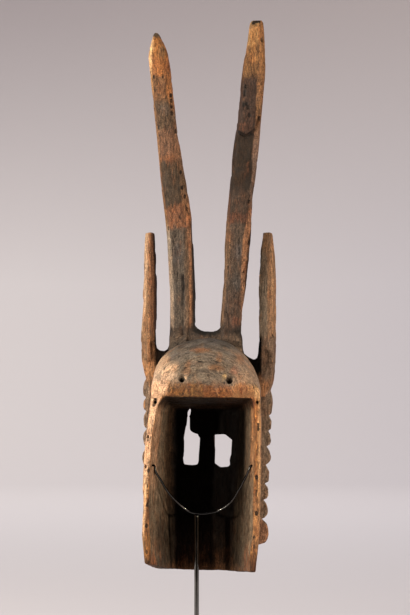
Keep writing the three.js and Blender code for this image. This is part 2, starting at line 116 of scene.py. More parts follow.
# The flat middle of each horn's back: height, and where it ends on the left and on the right
LEFT_FACET = [
    (314, -41.6, -22.4), (340, -41.4, -21.6), (392, -43.7, -22.0), (430, -46.6, -23.5),
    (450, -50.2, -28.0), (495, -56.7, -33.8), (540, -59.9, -41.3), (579, -63.7, -43.0),
    (604, -66.9, -50.7), (640, -68.4, -52.0), (661, -67.2, -50.0),
]
RIGHT_FACET = [
    (314, 23.3, 44.5), (366, 27.2, 45.3), (391, 30.6, 47.0), (417, 32.6, 47.4), (447, 30.0, 54.5),
    (469, 32.0, 55.8), (501, 30.0, 59.8), (533, 30.0, 60.5), (577, 40.0, 65.1), (609, 45.0, 65.9),
    (650, 50.0, 68.5),
]

# The narrow strips beside those, from below upwards: height and colour
LEFT_OUTER_STRIP = [
    (300, (122, 106, 92)), (425, (118, 107, 95)), (442, (115, 86, 58)), (490, (92, 68, 52)),
    (520, (110, 82, 58)), (604, (124, 93, 66)), (626, (150, 114, 78)), (650, (208, 166, 120)),
]
LEFT_INNER_STRIP = [
    (300, (116, 84, 62)), (392, (130, 92, 66)), (430, (119, 88, 67)), (450, (117, 82, 58)),
    (495, (83, 64, 48)), (540, (103, 75, 58)), (579, (86, 67, 52)), (604, (134, 92, 58)),
    (640, (106, 68, 42)),
]
RIGHT_INNER_STRIP = [(300, (85, 68, 54)), (430, (88, 69, 53)), (462, (74, 52, 40))]
RIGHT_OUTER_STRIP = [
    (300, (100, 76, 60)), (360, (112, 83, 63)), (417, (122, 87, 63)), (447, (120, 86, 64)),
    (469, (74, 58, 49)), (501, (84, 70, 61)), (533, (110, 87, 75)), (577, (101, 74, 52)),
    (609, (116, 85, 60)), (650, (118, 84, 56)),
]

# Smoky and rubbed patches on the horns: place, reach each way and colour
HORN_PATCHES = [
    ((-56, 64, 659), (5, 30, 10), (104, 82, 60)),
    ((-53, 70, 586), (9, 30, 10), (68, 60, 54)),
    ((-36, 83, 399), (8, 30, 15), (60, 56, 55)),
    ((42, 83, 401), (7, 30, 14), (62, 57, 56)),
    ((40, 87, 363), (8, 30, 14), (58, 54, 52)),
    ((40, 92, 309), (9, 30, 12), (86, 55, 42)),
]

# The crown's curve, and where the crown begins and ends
CROWN_CENTRE_Z = 214
CROWN_RADIUS = 60
CROWN_FOOT_Z = 216
CROWN_TOP_Z = 303
CROWN_BACK_Y = 87

# Where bare wood shows on the crown: place, reach each way and colour
CROWN_PATCHES = [
    ((-5, 20, 274), (14, 16, 3.5), (126, 84, 52)),
    ((13, 6, 251), (13, 14, 5), (100, 73, 52)),
    ((20, 15, 264), (4, 14, 9), (100, 74, 54)),
    ((38, 8, 247), (6, 12, 7), (116, 84, 68)),
    ((-45, 30, 258), (6, 20, 8), (122, 88, 60)),
    ((-30, 24, 277), (13, 20, 7), (84, 70, 56)),
    ((47, 20, 262), (5, 20, 8), (120, 92, 70)),
    ((-21.5, 2, 239.5), (2, 6, 2.5), (190, 168, 138)),
    ((27, 2, 240), (2.5, 6, 3.5), (128, 106, 74)),
]

# The inner edge of the painted light on the left rim's outer side: height and x
LEFT_LIT_EDGE = [
    (39, -72.9), (88, -69.8), (137, -65.8), (171, -63.3), (187, -60.4), (200, -57.3),
    (216, -51.4), (238, -45.4),
]

# Cracks and long pits: points along each, its half width and its depth
CRACKS = [
    ([
        (40.5, 77, 560), (45, 71, 553), (52.6, 71, 550.5), (60.3, 71, 555), (65.5, 74, 560), (68.7, 75, 574),
    ], 1.7, 3.6),
    ([(61.6, 63.6, 695), (64.5, 64.2, 697), (69, 64.6, 697.4)], 2.0, 3.2),
    # This shallow groove on the left horn's right side darkens like a crack, as a painted shadow line.
    ([(-30, 81, 484), (-24.3, 84, 458), (-19.8, 86, 440), (-18.5, 87, 425)], 0.8, 0.9),
    ([(-29.1, 84.7, 372), (-29.9, 86.5, 296)], 1.5, 1.9),
    ([(48.5, 88, 376), (51, 89, 381.5), (54, 91, 386)], 1.1, 2.0),
    ([(57.1, 83, 455), (55, 84, 441), (54.5, 86, 425)], 1.0, 1.4),
    ([(-59.2, 0, 212), (-60.6, 0, 205)], 1.5, 3.0),
    ([(-68.6, 0.6, 170.5), (-68.4, 0.6, 162)], 1.2, 2.4),
    ([(68, 0, 213), (68, 0, 205)], 1.0, 2.0),
    ([(68, 0, 182), (68, 0, 174)], 1.1, 2.0),
    ([(54.5, 50.6, 168), (54.5, 50.6, 159)], 1.2, 1.8),
    ([(62.9, 0, 189), (63.9, 0, 174), (64, 0, 157), (63.8, 0, 140)], 0.8, 1.1),
    ([(65.7, 0, 100), (65.6, 0, 93)], 1.0, 1.8),
    ([(66.4, 0, 88), (69.3, 0, 77.7)], 0.9, 1.6),
    ([(63, 0, 33), (63, 0, 19)], 1.0, 1.2),
    ([
        (-61, 0, 190), (-65.8, 0, 160), (-67.6, 0, 119), (-68.4, 0, 88), (-69.2, 0, 63), (-69, 0, 43),
    ], 0.8, 0.8),
]
CRACK_WANDER = 0.8
PITS = [
    (51.7, 66.2, 613.7), (50.5, 66.8, 607.5), (50.2, 67.2, 603.5), (49, 68.4, 590), (53, 68.4, 591.5),
    (55.3, 68.6, 587), (56.5, 69.6, 577), (73, 65.3, 673.7), (-69.4, 68, 637), (-66.7, 66, 627),
    (-65.6, 69, 610), (-61.4, 74.5, 563), (-48.3, 84, 433), (-44.5, 72.8, 604), (-43.9, 73.4, 597),
    (-43.9, 73.4, 590), (-43, 74, 581), (-38.3, 77.5, 558), (-32.6, 80, 505), (-30.6, 80.4, 485),
    (-26.8, 82.3, 473.5), (-24.3, 83.5, 458), (55.8, 83.3, 467), (55, 87.8, 414), (-72, 1.6, 129),
    (66.3, 0, 116), (66, 0, 72), (62.3, 0, 42.6), (-67.4, 0, 124), (-68.6, 0, 82), (-69.6, 0, 56),
    (-70.4, 0, 24),
]
PIT_RADIUS = 1.7
PIT_DEPTH = 2.4
PIT_SQUEEZE = np.array((1.0, 1.0, 0.7))

# How strongly the wood mirrors light where nothing dulls it
WOOD_SHINE = 0.23

# The stand: the wire cradle's way through the hollow, and the rod's and foot's sizes
CRADLE_BOW = [
    (-67.3, 9.2, 129), (-61.4, 20.8, 128.6), (-60.6, 21.2, 123.5), (-54.2, 30, 111.1), (-44.7, 42, 94),
    (-34.9, 50, 82.8), (-25, 55, 73.7), (-17.5, 56.7, 69.4), (-10.5, 57, 68), (-1.2, 57, 67.7),
    (7.8, 56.7, 69), (18.2, 55.5, 72), (31.2, 50.5, 80.8), (43, 40, 98), (50, 31, 111),
    (56.2, 21.9, 123.5), (58.2, 20.8, 128.6), (67.9, 9.2, 129),
]
WIRE_RADIUS = 0.00145
ROD_RADIUS = 0.003
SOCKET_RADIUS = 0.008
SOCKET_HEIGHT = 0.010
ROD_GAP = 0.0004
WELD_SIZE = 0.0016
WELD_SINK = 0.0002
BORE_FLOOR = 0.001
PLATE_EDGE = 0.0012
PLATE_CORNER = 0.003

# The backdrop: a round floor that turns up into a wall far behind, its paper and the lights' colours
FLOOR_RADIUS = 4.6
SWEEP_RADIUS = 2.4
WALL_TOP = 7.0
# Near the mask, up high and by the camera the paper's colour is painted shade; far off it is its own grey.
NEAR_PAPER = (192, 189, 193)
FAR_PAPER = (200, 194, 194)
HIGH_PAPER = (158, 149, 149)
CAMERA_SIDE_SHADE = (28, 27, 26)
FLOOR_GAP = 0.0002
LEFT_GLOW = (1.0, 0.87, 0.72)
RIGHT_GLOW = (1.0, 0.84, 0.67)
BACK_GLOW = (1.0, 0.985, 0.98)
ROOM_GLOW = (0.9, 0.88, 0.86, 1)
ROOM_STRENGTH = 0.12


def srgb(red, green, blue):
    """A linear colour from the usual 0 to 255 values."""
    return tuple((v / 255) ** 2.2 for v in (red, green, blue))


def mask_mm(points):
    return (points - MASK_PLACE) * 1000


def from_mask_mm(point):
    return Vector(point) / 1000 + Vector(MASK_PLACE)


def ramp(values, low, high):
    """0 below low and 1 above high, smooth between them. With low above high it falls instead."""
    share = np.clip((values - low) / (high - low), 0, 1)
    return share * share * (3 - 2 * share)


def lattice_noise(points, cell, seed):
    """Smooth random values from -1 to 1, with bumps as large as cell along x, y and z."""
    lattice = np.random.default_rng(SEED + seed).uniform(-1, 1, (32, 32, 32))
    place = points / np.asarray(cell, float) + 700.3
    low = np.floor(place).astype(int)
    part = place - low
    part = part * part * (3 - 2 * part)
    total = np.zeros(len(points))
    for corner in np.ndindex(2, 2, 2):
        share = np.prod(np.where(corner, part, 1 - part), axis=1)
        total += share * lattice[tuple(((low + corner) % 32).T)]
    return total


def layered_noise(points, cell, seed, layers=3):
    cell = np.asarray(cell, float) * np.ones(3)
    total = sum(lattice_noise(points, cell / 2**i, seed + i) / 2**i for i in range(layers))
    return total / sum(0.5**i for i in range(layers))


# Mesh arrays


def vertex_places(mesh):
    places = np.empty(len(mesh.vertices) * 3)
    mesh.vertices.foreach_get("co", places)
    return places.reshape(-1, 3)


def vertex_normals(mesh):
    normals = np.empty(len(mesh.vertices) * 3)
    mesh.vertex_normals.foreach_get("vector", normals)
    return normals.reshape(-1, 3)


def edge_ends(mesh):
    ends = np.empty(len(mesh.edges) * 2, int)
    mesh.edges.foreach_get("vertices", ends)
    return ends.reshape(-1, 2)


def set_places(mesh, places):
    mesh.vertices.foreach_set("co", places.ravel())
    mesh.update()


class Neighbours:
    """Averages of what a mesh's vertices hold, over the vertices joined to each."""

    def __init__(self, mesh):
        ends = edge_ends(mesh)
        self.here = np.concatenate([ends[:, 0], ends[:, 1]])
        self.there = np.concatenate([ends[:, 1], ends[:, 0]])
        self.size = len(mesh.vertices)
        self.count = np.maximum(np.bincount(self.here, minlength=self.size), 1)

    def mean(self, values):
        if values.ndim == 1:
            return np.bincount(self.here, values[self.there], self.size) / self.count
        return np.stack([self.mean(column) for column in values.T], axis=1)

    def smooth(self, values, rounds, share=0.5):
        for _ in range(rounds):
            values = values * (1 - share) + self.mean(values) * share
        return values


def smooth_shading(mesh):
    for polygon in mesh.polygons:
        polygon.use_smooth = True


def unit(vectors):
    return vectors / np.maximum(np.linalg.norm(vectors, axis=1, keepdims=True), 1e-12)


def apply_modifiers(obj):
    bpy.context.view_layer.update()
    graph = bpy.context.evaluated_depsgraph_get()
    mesh = bpy.data.meshes.new_from_object(obj.evaluated_get(graph))
    obj.modifiers.clear()
    obj.data = mesh
    return mesh


def linked_object(name, mesh):
    obj = bpy.data.objects.new(name, mesh)
    bpy.context.scene.collection.objects.link(obj)
    return obj


# The carved surface


def dense_copy(node):
    """A finely and evenly meshed copy of a solid."""
    obj = linked_object("carved_mask", node.data.copy())
    remesh = obj.modifiers.new("remesh", "REMESH")
    remesh.mode = "VOXEL"
    remesh.voxel_size = REMESH_SIZE
    apply_modifiers(obj)
    return obj


def nearest_cuts(places, normals, cut_places, cut_normals):
    """For each vertex, the first of its three nearest cuts that faces much the same way, or -1."""
    tree = kdtree.KDTree(len(cut_places))
    for i, place in enumerate(cut_places):
        tree.insert(place, i)
    tree.balance()
    nearest = np.full(len(places), -1)
    facing = normals.tolist()
    cuts = cut_normals.tolist()
    for v, place in enumerate(places.tolist()):
        nx, ny, nz = facing[v]
        for _, i, _ in tree.find_n(place, 3):
            cx, cy, cz = cuts[i]
            if nx * cx + ny * cy + nz * cz > CUT_FACING:
                nearest[v] = i
                break
    return nearest


def tool_cuts(places, normals):
    """How far each vertex moves to lie on a blade's flat cut. The cuts run long with the grain."""
    rng = np.random.default_rng(SEED)
    chosen = rng.choice(len(places), CUT_COUNT, replace=False)
    tilted = unit(normals[chosen] + rng.normal(0, CUT_TILT, (CUT_COUNT, 3)))
    nearest = nearest_cuts(places * CUT_SQUEEZE, normals, places[chosen] * CUT_SQUEEZE, tilted)
    found = nearest >= 0
    seeds = nearest[found]
    gaps = np.einsum("ij,ij->i", places[chosen][seeds] - places[found], tilted[seeds])
    moves = np.zeros(len(places))
    moves[found] = np.clip(gaps, -CUT_DEPTH, CUT_DEPTH)
    return moves


def edge_strength(places, normals, neighbours, rounds):
    """Millimetres above 0 on outer edges and below 0 in inner corners, spread a little way round them."""
    bend = np.einsum("ij,ij->i", places - neighbours.smooth(places, 4), normals)
    return neighbours.smooth(bend, rounds) * 1000


def segment_distance(points, start, end):
    start, end = np.asarray(start, float), np.asarray(end, float)
    way = end - start
    share = np.clip((points - start) @ way / (way @ way), 0, 1)
    return np.linalg.norm(points - (start + share[:, None] * way), axis=1)


def damage(points):
    """Depth of the cracks and pits at each point, both in millimetres."""
    depth = np.zeros(len(points))
    wander = lattice_noise(points, (6, 6, 9), 40)[:, None] * CRACK_WANDER
    for path, width, deepest in CRACKS:
        distances = [segment_distance(points + wander, a, b) for a, b in zip(path, path[1:])]
        distance = np.min(distances, axis=0)
        depth = np.maximum(depth, deepest * np.exp(-((distance / width) ** 2)))
    for pit in PITS:
        distance = np.linalg.norm((points - pit) * PIT_SQUEEZE, axis=1)
        depth = np.maximum(depth, PIT_DEPTH * np.exp(-((distance / PIT_RADIUS) ** 2)))
    return depth


def chip_noise(points):
    return ramp(layered_noise(points, (5, 5, 8), 5), 0.05, 0.5)


def carve(obj):
    """Gives the evenly meshed solid its tool marks, worn and chipped edges, cracks and pits."""
    mesh = obj.data
    neighbours = Neighbours(mesh)
    places = neighbours.smooth(vertex_places(mesh), 2)
    set_places(mesh, places)
    normals = vertex_normals(mesh)
    points = mask_mm(places)
    cuts = neighbours.smooth(tool_cuts(places, neighbours.smooth(normals, 2)), 2)
    cuts *= 1 - 0.35 * hollow_share(points)
    waves = layered_noise(points, (45, 45, 90), 1, 2) * WAVE_DEPTH
    fibres = layered_noise(points, (2.6, 2.6, 30), 9, 2) * FIBRE_DEPTH
    edges = edge_strength(places, normals, neighbours, 4)
    chips = ramp(edges, 0.04, 0.2) * chip_noise(points) * EDGE_LOSS
    moves = cuts + waves + fibres - chips
    places = neighbours.smooth(places + normals * moves[:, None], 1)
    depth = damage(mask_mm(places)) / 1000
    set_places(mesh, places - normals * depth[:, None])


def thin_out(obj, triangles):
    faces = sum(len(p.vertices) - 2 for p in obj.data.polygons)
    if faces > triangles:
        thin = obj.modifiers.new("thin", "DECIMATE")
        thin.ratio = triangles / faces
        apply_modifiers(obj)


# Where things are on the mask, as shares from 0 to 1 at points in the mask's millimetres


def hollow_share(points):
    x, y, z = points.T
    deep = np.clip(y / HOLLOW_DEPTH, 0, 1)
    left = ramp(x, -71.5 + 17 * deep, -67.5 + 17 * deep)
    right = ramp(x, 69 - 17 * deep, 65 - 17 * deep)
    below = ramp(z, 223 - 14 * deep, 217.5 - 14 * deep)
    return left * right * below * ramp(y, HOLLOW_DEPTH + 6, HOLLOW_DEPTH + 3.5) * ramp(y, 0.5, 4)


def horn_share(points):
    x, _, z = points.T
    return ramp(z, 292, 306) * np.maximum(ramp(np.abs(x), 62, 58), ramp(z, 431, 433))


def ear_share(points):
    x, _, z = points.T
    return ramp(z, 236, 262) * ramp(np.abs(x), 60, 64) * ramp(z, 434, 431)


def crown_edge(points):
    """How much lower than in the middle the crown's dust ends, ragged and rising on the left."""
    return layered_noise(points, (10, 10, 6), 70) * 6 - 0.1 * np.maximum(-points[:, 0], 0)


def crown_share(points):
    _, y, z = points.T
    return ramp(z + crown_edge(points), 221, 228) * ramp(y, 90, 84) * ramp(z, 304, 294)


def saddle_share(points):
    """The back of the ridge between the horns' feet and of the thin webs beside them."""
    x, y, z = points.T
    upright = ramp(z, 240, 252) * ramp(z, 312, 300)
    return ramp(y, 84, 90) * ramp(y, 122, 116) * upright * ramp(np.abs(x), 68, 60)


def pocket_shade_share(points):
    """The deep pockets between the crown, the horns' feet and the ears, where shade is painted black."""
    x, y, z = points.T
    side = ramp(np.abs(x), 45, 50) * np.where(x < 0, ramp(x, -68.6, -66.4), ramp(x, 73, 70.5))
    return side * ramp(y, 88, 98) * ramp(y, 124, 120) * ramp(z, 232, 244) * ramp(z, 298, 290)


def rim_share(points):
    """The back edges of the walls and of the crown, worn by hands."""
    _, y, z = points.T
    wall = ramp(y, 7, 3.5) * ramp(z, 226, 214)
    top = ramp(y, 12, 7) * ramp(z + crown_edge(points), 232, 226)
    return np.maximum(wall, top * ramp(z, 200, 214))


def flange_share(points):
    x, y, z = points.T
    return ramp(y, 118, 123) * ramp(np.abs(x), 64, 68) * ramp(z, 240, 226)


# Colours


def mix(tint, colour, share):
    return tint + (np.array(colour) - tint) * np.clip(share, 0, 1)[:, None]


def graded(z, stops):
    """A colour at each height, from pairs of height and colour that go upwards."""
    heights = [height for height, _ in stops]
    colours = np.array([srgb(*colour) for _, colour in stops])
    return np.stack([np.interp(z, heights, channel) for channel in colours.T], axis=1)


def band_colours(points, bands, middle):
    """The painted bands of one horn, from its tip down, with soft and slightly ragged edges."""
    x, _, z = points.T
    ragged = layered_noise(points, (4, 4, 6), 60, 2) * 2.0
    tint = np.tile(np.array(srgb(*bands[0][2])), (len(points), 1))
    for (edge, slant, _), (_, _, colour) in zip(bands, bands[1:]):
        height = z + ragged - slant * (x - middle)
        tint = mix(tint, srgb(*colour), ramp(height, edge + 1.5, edge - 1.5))
    return tint


def arc_noise(points, seed):
    """Noise drawn out along the crown's curve, as its carving runs."""
    x, y, z = points.T
    up = z - CROWN_CENTRE_Z
    round_place = np.stack([np.hypot(x, up), np.arctan2(up, x) * CROWN_RADIUS, y], axis=1)
    return layered_noise(round_place, (5, 45, 24), seed)


def facet_edges(z, facet):
    """Where a horn's flat back ends on either side at each height."""
    heights, left, right = np.array(facet).T
    return np.interp(z, heights, left), np.interp(z, heights, right)


def side_strips(points, tint, facet, left_strip, right_strip):
    x, _, z = points.T
    left_edge, right_edge = facet_edges(z, facet)
    wander = lattice_noise(points, (6, 6, 14), 62) * 0.8
    tint = mix(tint, graded(z, left_strip), ramp(x + wander, left_edge + 0.8, left_edge - 0.8) * 0.9)
    return mix(tint, graded(z, right_strip), ramp(x + wander, right_edge - 0.8, right_edge + 0.8) * 0.9)


def horn_tint(points, fine):
    """Painted bands on the flat backs, plainer strips beside them, and painted shade on right edges low
    down.
    """
    x, _, z = points.T
    left = band_colours(points, LEFT_BANDS, LEFT_HORN_X)
    left = patched(points, left, HORN_PATCHES, fine, 0.75)
    left = mix(left, srgb(92, 72, 56), ramp(x, -30, -24) * ramp(z, 436, 424) * 0.7)
    left = side_strips(points, left, LEFT_FACET, LEFT_OUTER_STRIP, LEFT_INNER_STRIP)
    left = mix(left, srgb(74, 62, 50), ramp(z, 677, 681))
    right = band_colours(points, RIGHT_BANDS, RIGHT_HORN_X)
    right = patched(points, right, HORN_PATCHES, fine, 0.75)
    right = side_strips(points, right, RIGHT_FACET, RIGHT_INNER_STRIP, RIGHT_OUTER_STRIP)
    # Painted shade on each horn's right edge low down, on the facet turned away from the light.
    left_end = np.interp(z, [340, 392, 431, 450], [-16.8, -18.3, -19.3, -24])
    right_end = np.interp(z, [366, 392, 417, 440], [50.6, 53.6, 55, 60])
    low = ramp(z, 448, 436)
    left = mix(left, srgb(52, 34, 24), ramp(x, left_end - 0.7, left_end + 0.7) * low)
    right = mix(right, srgb(46, 30, 20), ramp(x, right_end - 1.2, right_end + 0.4) * low)
    tint = np.where((x < 0)[:, None], left, right)
    return mix(tint, srgb(104, 68, 46), ramp(fine, 0.25, 0.65) * 0.3)


def patched(points, tint, patches, fine, strength, share=1.0):
    for place, reach, colour in patches:
        distance = np.linalg.norm((points - place) / reach, axis=1) + fine * 0.5
        tint = mix(tint, srgb(*colour), share * ramp(distance, 1.1, 0.5) * strength)
    return tint


def ear_tint(points, tint, blotch, fine):
    """Warm brown, lightened outside as painted light; the right ear's inner facet is grey with dust."""
    x, _, z = points.T
    ears = ear_share(points)
    # Painted light on the left ear's outer side.
    lit_edge = np.interp(z, [309, 341, 420], [-83, -78.6, -76])
    pale = ramp(x, lit_edge + 1.4, lit_edge - 1.2) * ramp(z, 292, 310)
    tint = mix(tint, srgb(110, 83, 60), ears * (0.7 + 0.3 * ramp(fine, -0.3, 0.3)))
    tint = mix(tint, srgb(150, 124, 100), ears * pale)
    tint = mix(tint, srgb(112, 80, 58), ears * ramp(x, -76, -74) * ramp(x, 0, -1) * ramp(z, 294, 302))
    # Painted shade on the left ear's inner facet.
    tint = mix(tint, srgb(42, 26, 16), ears * ramp(x, -69.6, -67.8) * ramp(x, 0, -1) * 0.9)
    grey = ears * ramp(x, 60, 62) * ramp(x, 81, 78) * ramp(z, 414, 398)
    tint = mix(tint, srgb(84, 73, 62), grey * (0.8 + 0.2 * ramp(blotch, -0.4, 0.0)))
    tint = mix(tint, srgb(99, 75, 56), ears * ramp(x, 79, 81))
    return mix(tint, srgb(120, 92, 68), ears * ramp(x, 83.6, 85.2))


def shoulder_tint(points, tint, fine):
    """The sides of the web below the ears: brown on the left and darker on the right."""
    x, _, z = points.T
    shoulder = ramp(np.abs(x), 64, 68) * ramp(z, 232, 244) * ramp(z, 300, 288)
    left = graded(z, [(255, (146, 106, 72)), (266, (110, 86, 65))])
    tint = mix(tint, left, shoulder * (x < 0) * (0.6 + 0.4 * ramp(fine, -0.3, 0.3)))
    warm = ramp(x, -77.5, -75.5) * ramp(x, -66, -69) * ramp(z, 250, 260)
    tint = mix(tint, srgb(128, 90, 62), shoulder * warm * 0.9)
    return mix(tint, srgb(84, 69, 58), shoulder * (x > 0) * 0.85)


def crown_tint(points, tint, blotch, fine):
    """The crown is grey with dust, streaked along its curve, and rubbed to brown wood in places."""
    x, _, z = points.T
    arcs = arc_noise(points, 28)
    crown = crown_share(points)
    tint = mix(tint, srgb(79, 72, 64), crown * (0.8 + 0.2 * ramp(blotch, -0.4, 0.3)))
    tint = mix(tint, srgb(106, 96, 83), crown * ramp(arcs, 0.05, 0.4) * 0.6)
    tint = mix(tint, srgb(58, 51, 45), crown * ramp(arcs, -0.05, -0.4) * 0.7)
    tint = mix(tint, srgb(108, 76, 50), crown * ramp(blotch + arcs * 0.6, 0.25, 0.55) * 0.6)
    tint = mix(tint, srgb(132, 108, 88), crown * ramp(x, 28, 54) * 0.8)
    tint = patched(points, tint, CROWN_PATCHES, fine, 0.85, crown)
    return mix(tint, srgb(48, 42, 37), crown * ramp(z, 266, 288) * 0.9)


def saddle_tint(points, tint, uneven):
    """Dark, partly as painted shade, with a ragged black crest, and black painted shade in the pockets by
    it.
    """
    x, y, z = points.T
    saddle = saddle_share(points)
    # Painted shade darkens the saddle's back, over its dark wood.
    tint = mix(tint, srgb(50, 43, 38), saddle)
    tint = mix(tint, srgb(30, 23, 19), saddle * ramp(z, 292, 300) * ramp(uneven, -0.3, 0.2))
    ragged = lattice_noise(points, (3, 3, 3), 64) * 1.2
    crest = np.interp(x, [-16, -8, 0, 6, 12, 17], [299.5, 296.2, 294, 293.3, 294.6, 298.5])
    between_horns = ramp(np.abs(x), 21, 16) * ramp(y, 80, 84)
    tint = mix(tint, srgb(12, 9, 7), between_horns * ramp(z + ragged - crest, -1.2, 0.2) * 0.9)
    # Black painted shade in the pockets beside the saddle.
    return mix(tint, srgb(7, 5, 4), pocket_shade_share(points) * np.where(x < 0, 0.75, 1))


def rim_tint(points, tint):
    """The back edges: orange brown with dark and pale grain, and painted light along the left's outer side.
    """
    x, y, z = points.T
    rim = rim_share(points)
    grain = layered_noise(grain_places(points / 1000 + MASK_PLACE) * 1000, (2.0, 2.5, 14), 72)
    coarse = layered_noise(points, (4, 4, 7), 73, 2)
    top = ramp(z, 208, 216)
    tint = mix(tint, srgb(105, 70, 42), rim)
    tint = mix(tint, srgb(76, 53, 31), rim * top * ramp(x, 30, 18))
    tint = mix(tint, srgb(150, 118, 84), rim * top * ramp(x, 30, 40))
    tint = mix(tint, srgb(154, 112, 66), rim * ramp(grain, 0.08, 0.4) * (0.7 - 0.45 * top))
    tint = mix(tint, srgb(66, 36, 20), rim * ramp(grain + coarse, -0.1, -0.6) * 0.85)
    tint = mix(tint, srgb(162, 126, 90), rim * ramp(x, 66.5, 69.5) * ramp(z, 14, 30) * 0.7)
    low_right = ramp(x, 58, 62) * ramp(z, 110, 80) * ramp(z, 14, 30)
    tint = mix(tint, srgb(126, 92, 64), rim * low_right * 0.5)
    inner_right = ramp(x, 0, 1) * ramp(x, 64.4, 63.2) * ramp(z, 60, 200)
    tint = mix(tint, srgb(92, 52, 28), rim * inner_right * 0.6)
    # Painted light on the left rim's outer side, which faces the light from the left.
    heights, edge = np.array(LEFT_LIT_EDGE).T
    pale = rim * ramp(x - np.interp(z, heights, edge), 1.2, -1.2)
    tint = mix(tint, srgb(172, 138, 105), pale * (0.75 + 0.25 * ramp(grain, -0.3, 0.2)) * ramp(z, 12, 34))
    tint = mix(tint, srgb(182, 148, 121), pale * ramp(z, 90, 150) * 0.9)
    tint = mix(tint, srgb(96, 72, 40), rim * ramp(x, -60, -64) * ramp(z, 54, 36) * 0.5)
    return mix(tint, srgb(52, 32, 18), ramp(y, 12, 2) * ramp(z, 24, 8) * ramp(np.abs(x), 50, 58) * 0.85)


def lit_flank_tint(points, tint, fine):
    """The crown's left flank is lightened in streaks, as painted light from the left."""
    x, y, z = points.T
    flank = ramp(x, -41, -47) * ramp(z, 214, 224) * ramp(z, 274, 262)
    beside = ramp(x, -27, -38) * ramp(z, 230, 238) * ramp(z, 262, 254) * 0.9
    streaks = 0.62 + 0.38 * ramp(arc_noise(points, 33) + fine * 0.3, -0.4, 0.1)
    colour = graded(z, [(228, (182, 148, 121)), (240, (164, 140, 119)), (262, (160, 133, 106))])
    share = np.maximum(flank, beside) * streaks * ramp(y, 92, 84)
    return mix(tint, colour, share * (1 - hollow_share(points)))


def flange_tint(points, tint, fine):
    x, y, z = points.T
    flange = flange_share(points)
    tint = mix(tint, srgb(112, 96, 82), flange * 0.85)
    tint = mix(tint, srgb(88, 66, 53), flange * ramp(fine, 0, 0.4) * 0.6)
    last_lobe = ramp(z, 60, 54) * ramp(x, 66, 69) * ramp(y, 118, 123)
    return mix(tint, srgb(118, 84, 64), last_lobe * 0.8)


def wall_shade(points):
    """How far painted shade darkens the hollow's walls: more with depth, and most high up on the right."""
    x, y, z = points.T
    end = np.interp(z, [65, 100, 135], [0.66, 0.9, 0.96])
    right = np.interp(y, [14, 25, 50], [0, 0.4, 0.5]) * (1 - 0.3 * ramp(z, 100, 140))
    right = right + (end - right) * ramp(y, 54, 82)
    low_left = ramp(z, 80, 45) * ramp(y, 15, 40) * 0.6
    deep_left = ramp(z, 130, 100) * ramp(y, 84, 100) * 0.85
    foot = ramp(z, 26, 12) * 0.5
    return np.maximum(np.where(x > 0, right, np.maximum(low_left, deep_left)), foot)


def hollow_foot_tint(points, tint, fine, hollow):
    """Brown wood shows low in the hollow, on the face's inner side, the walls' feet and the chin's edge."""
    x, y, z = points.T
    foot = hollow * ramp(y, 104, 111) * ramp(z, 70, 14)
    tint = mix(tint, srgb(35, 26, 20), foot * (0.6 + 0.4 * ramp(fine, -0.3, 0.3)))
    tint = mix(tint, srgb(62, 42, 28), foot * ramp(z, 28, 4) * ramp(fine, 0.0, 0.4) * 0.8)
    reddish = ramp(z, 40, 12) * ramp(np.abs(x), 42, 50) * ramp(y, 60, 30) * ramp(fine, -0.3, 0.2)
    tint = mix(tint, srgb(132, 84, 56), hollow * reddish * np.where(x < 0, 0.5, 0.35))
    return mix(tint, srgb(92, 66, 47), hollow * ramp(z, 4, -3) * np.where(x < 0, 0.7, 0.5))


def hollow_tint(points, tint, fine):
    """Grey brown walls with painted light and shade; further in, black with sweat, soot and painted shade.
    """
    x, y, z = points.T
    hollow = hollow_share(points)
    ceiling = ramp(z, 196, 208)
    tint = mix(tint, srgb(96, 84, 70), hollow)
    # Painted light on the walls near the rims, where the side lights reach in.
    tint = mix(tint, srgb(140, 112, 90), hollow * ramp(x, -40, -50) * ramp(y, 48, 22) * ramp(z, 80, 130))
    tint = mix(tint, srgb(140, 104, 74), hollow * ramp(x, 40, 50) * ramp(y, 34, 18) * ramp(z, 100, 150))
    tint = mix(tint, srgb(88, 62, 46), hollow * ramp(fine, -0.1, 0.4) * 0.5)
    tint = mix(tint, srgb(94, 64, 42), hollow * ramp(x, 40, 50) * ramp(y, 11, 5) * ramp(z, 140, 165) * 0.8)
    # Painted shade deeper in the hollow.
    tint = mix(tint, srgb(12, 8, 6), hollow * wall_shade(points))
    # Painted shade under the ceiling.
    tint = mix(tint, srgb(32, 22, 15), hollow * ceiling * 0.9)
    tint = mix(tint, srgb(54, 38, 27), hollow * ceiling * ramp(x, 8, 26) * 0.9)
    # Painted light lifts the deep part low down, except on the right.
    tint = mix(tint, srgb(58, 45, 35), hollow * ramp(y, 60, 104) * ramp(x, 30, 20) * ramp(z, 50, 110))
    # Deepest in, the wood is black with sweat and soot, deepened by painted shade.
    tint = mix(tint, srgb(14, 10, 8), hollow * ramp(y, 104, HOLLOW_DEPTH))
    return np.clip(hollow_foot_tint(points, tint, fine, hollow), 0, 1)


def wood_tint(points):
    """The wood's colour before its grain: dark with age, painted on the horns and dusty on top."""
    blotch = layered_noise(points, (16, 16, 26), 21)
    fine = layered_noise(points, (4, 4, 9), 25)
    # Some of the steps below also paint light and shade into this colour, as their docstrings say.
    tint = np.tile(np.array(srgb(104, 80, 62)), (len(points), 1))
    tint = mix(tint, srgb(122, 86, 60), ramp(blotch, 0, 0.5))
    horns = horn_share(points)[:, None]
    tint = tint * (1 - horns) + horn_tint(points, fine) * horns
    tint = ear_tint(points, tint, blotch, fine)
    tint = shoulder_tint(points, tint, fine)
    tint = crown_tint(points, tint, blotch, fine)
    tint = saddle_tint(points, tint, blotch + fine)
    tint = rim_tint(points, tint)
    tint = lit_flank_tint(points, tint, fine)
    tint = flange_tint(points, tint, fine)
    return hollow_tint(points, tint, fine)


